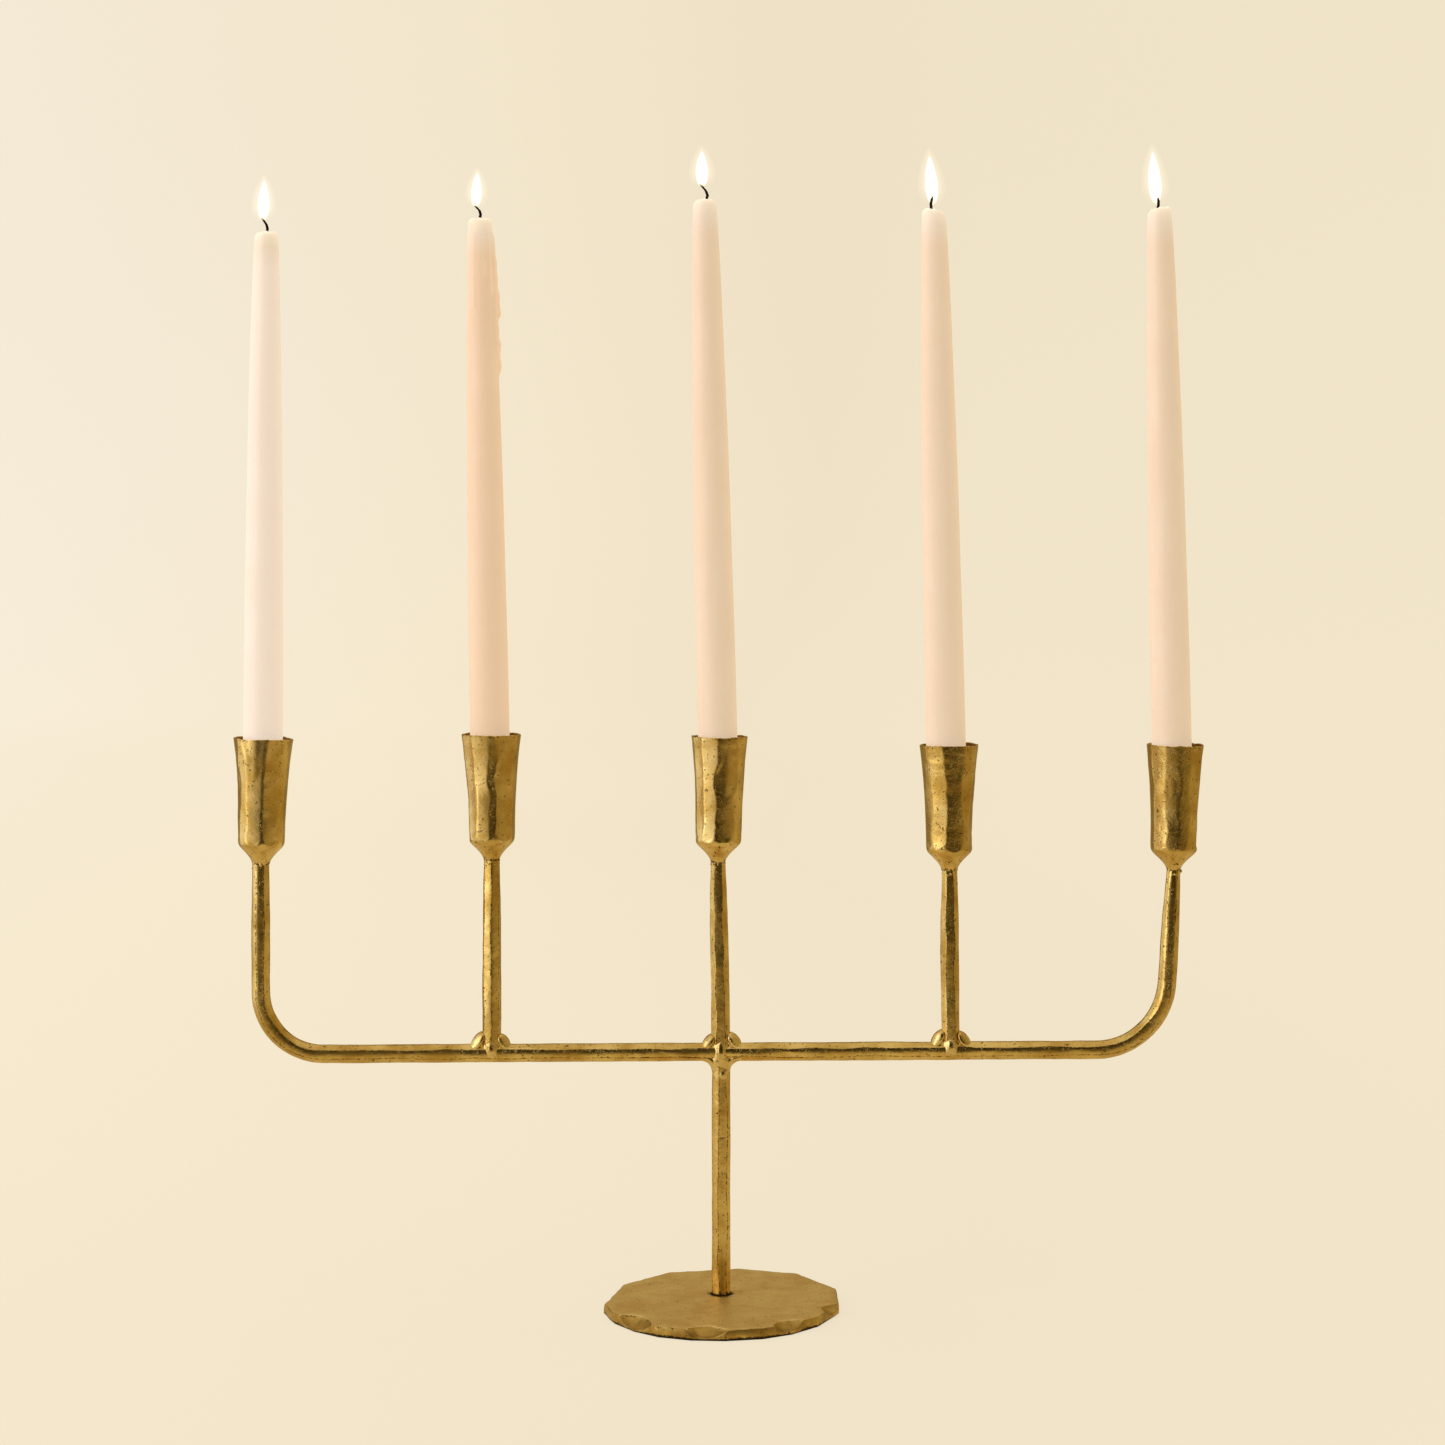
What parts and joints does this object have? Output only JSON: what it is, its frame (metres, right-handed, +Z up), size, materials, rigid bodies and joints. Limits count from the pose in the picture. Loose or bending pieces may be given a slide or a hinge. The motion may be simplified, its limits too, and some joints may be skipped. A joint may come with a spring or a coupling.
{
  "type": "tabletop candelabra",
  "caption": "Forged tabletop candelabra: bent cross bar on a post and flat base, flared cups on upright arms, each holding a tapered candle.",
  "frame": {"origin": "on the table under the middle of the post: the underside of the felt pad", "axes": "+X to the right along the cross bar, +Y to the back, +Z up along the post"},
  "size_m": [0.5144, 0.1272, 0.593],
  "materials": {
    "forged_iron": "antique gold over hammered forged iron bar",
    "hammered_iron": "antique gold over hand-hammered iron, pitted",
    "weld_metal": "antique gold over ground weld bead",
    "plate_iron": "matt antique gold over hand-cut iron plate, worn",
    "zinc_steel": "zinc-plated steel",
    "felt": "black wool felt",
    "wax": "dipped blush candle wax, satin",
    "wick": "burnt braided cotton"
  },
  "bodies": {
    "frame": {"base_plate": "plate_iron", "base_felt": "felt", "base_screw": "zinc_steel", "lower_post": "forged_iron", "cross_bar": "forged_iron", "stem_inner_left": "forged_iron", "stem_centre": "forged_iron", "stem_inner_right": "forged_iron", "weld_inner_left": "weld_metal", "weld_centre": "weld_metal", "weld_inner_right": "weld_metal", "neck_bead_far_left": "weld_metal", "neck_bead_inner_left": "weld_metal", "neck_bead_centre": "weld_metal", "neck_bead_inner_right": "weld_metal", "neck_bead_far_right": "weld_metal", "cup_far_left": "hammered_iron", "cup_inner_left": "hammered_iron", "cup_centre": "hammered_iron", "cup_inner_right": "hammered_iron", "cup_far_right": "hammered_iron"},
    "candle_far_left": {"candle_far_left": "wax", "wick_far_left": "wick"},
    "candle_inner_left": {"candle_inner_left": "wax", "wick_inner_left": "wick"},
    "candle_centre": {"candle_centre": "wax", "wick_centre": "wick"},
    "candle_inner_right": {"candle_inner_right": "wax", "wick_inner_right": "wick"},
    "candle_far_right": {"candle_far_right": "wax", "wick_far_right": "wick"}
  },
  "joints": [
    {"name": "candle_far_left_lift", "type": "slide", "parent": "frame", "child": "candle_far_left", "axis": [0.0175, 0, 0.9998], "range_m": [0, 0.05]},
    {"name": "candle_inner_left_lift", "type": "slide", "parent": "frame", "child": "candle_inner_left", "axis": [-0.014, 0, 0.9999], "range_m": [0, 0.05]},
    {"name": "candle_centre_lift", "type": "slide", "parent": "frame", "child": "candle_centre", "axis": [-0.0244, 0, 0.9997], "range_m": [0, 0.05]},
    {"name": "candle_inner_right_lift", "type": "slide", "parent": "frame", "child": "candle_inner_right", "axis": [-0.0279, 0, 0.9996], "range_m": [0, 0.05]},
    {"name": "candle_far_right_lift", "type": "slide", "parent": "frame", "child": "candle_far_right", "axis": [-0.0332, 0, 0.9995], "range_m": [0, 0.05]}
  ]
}
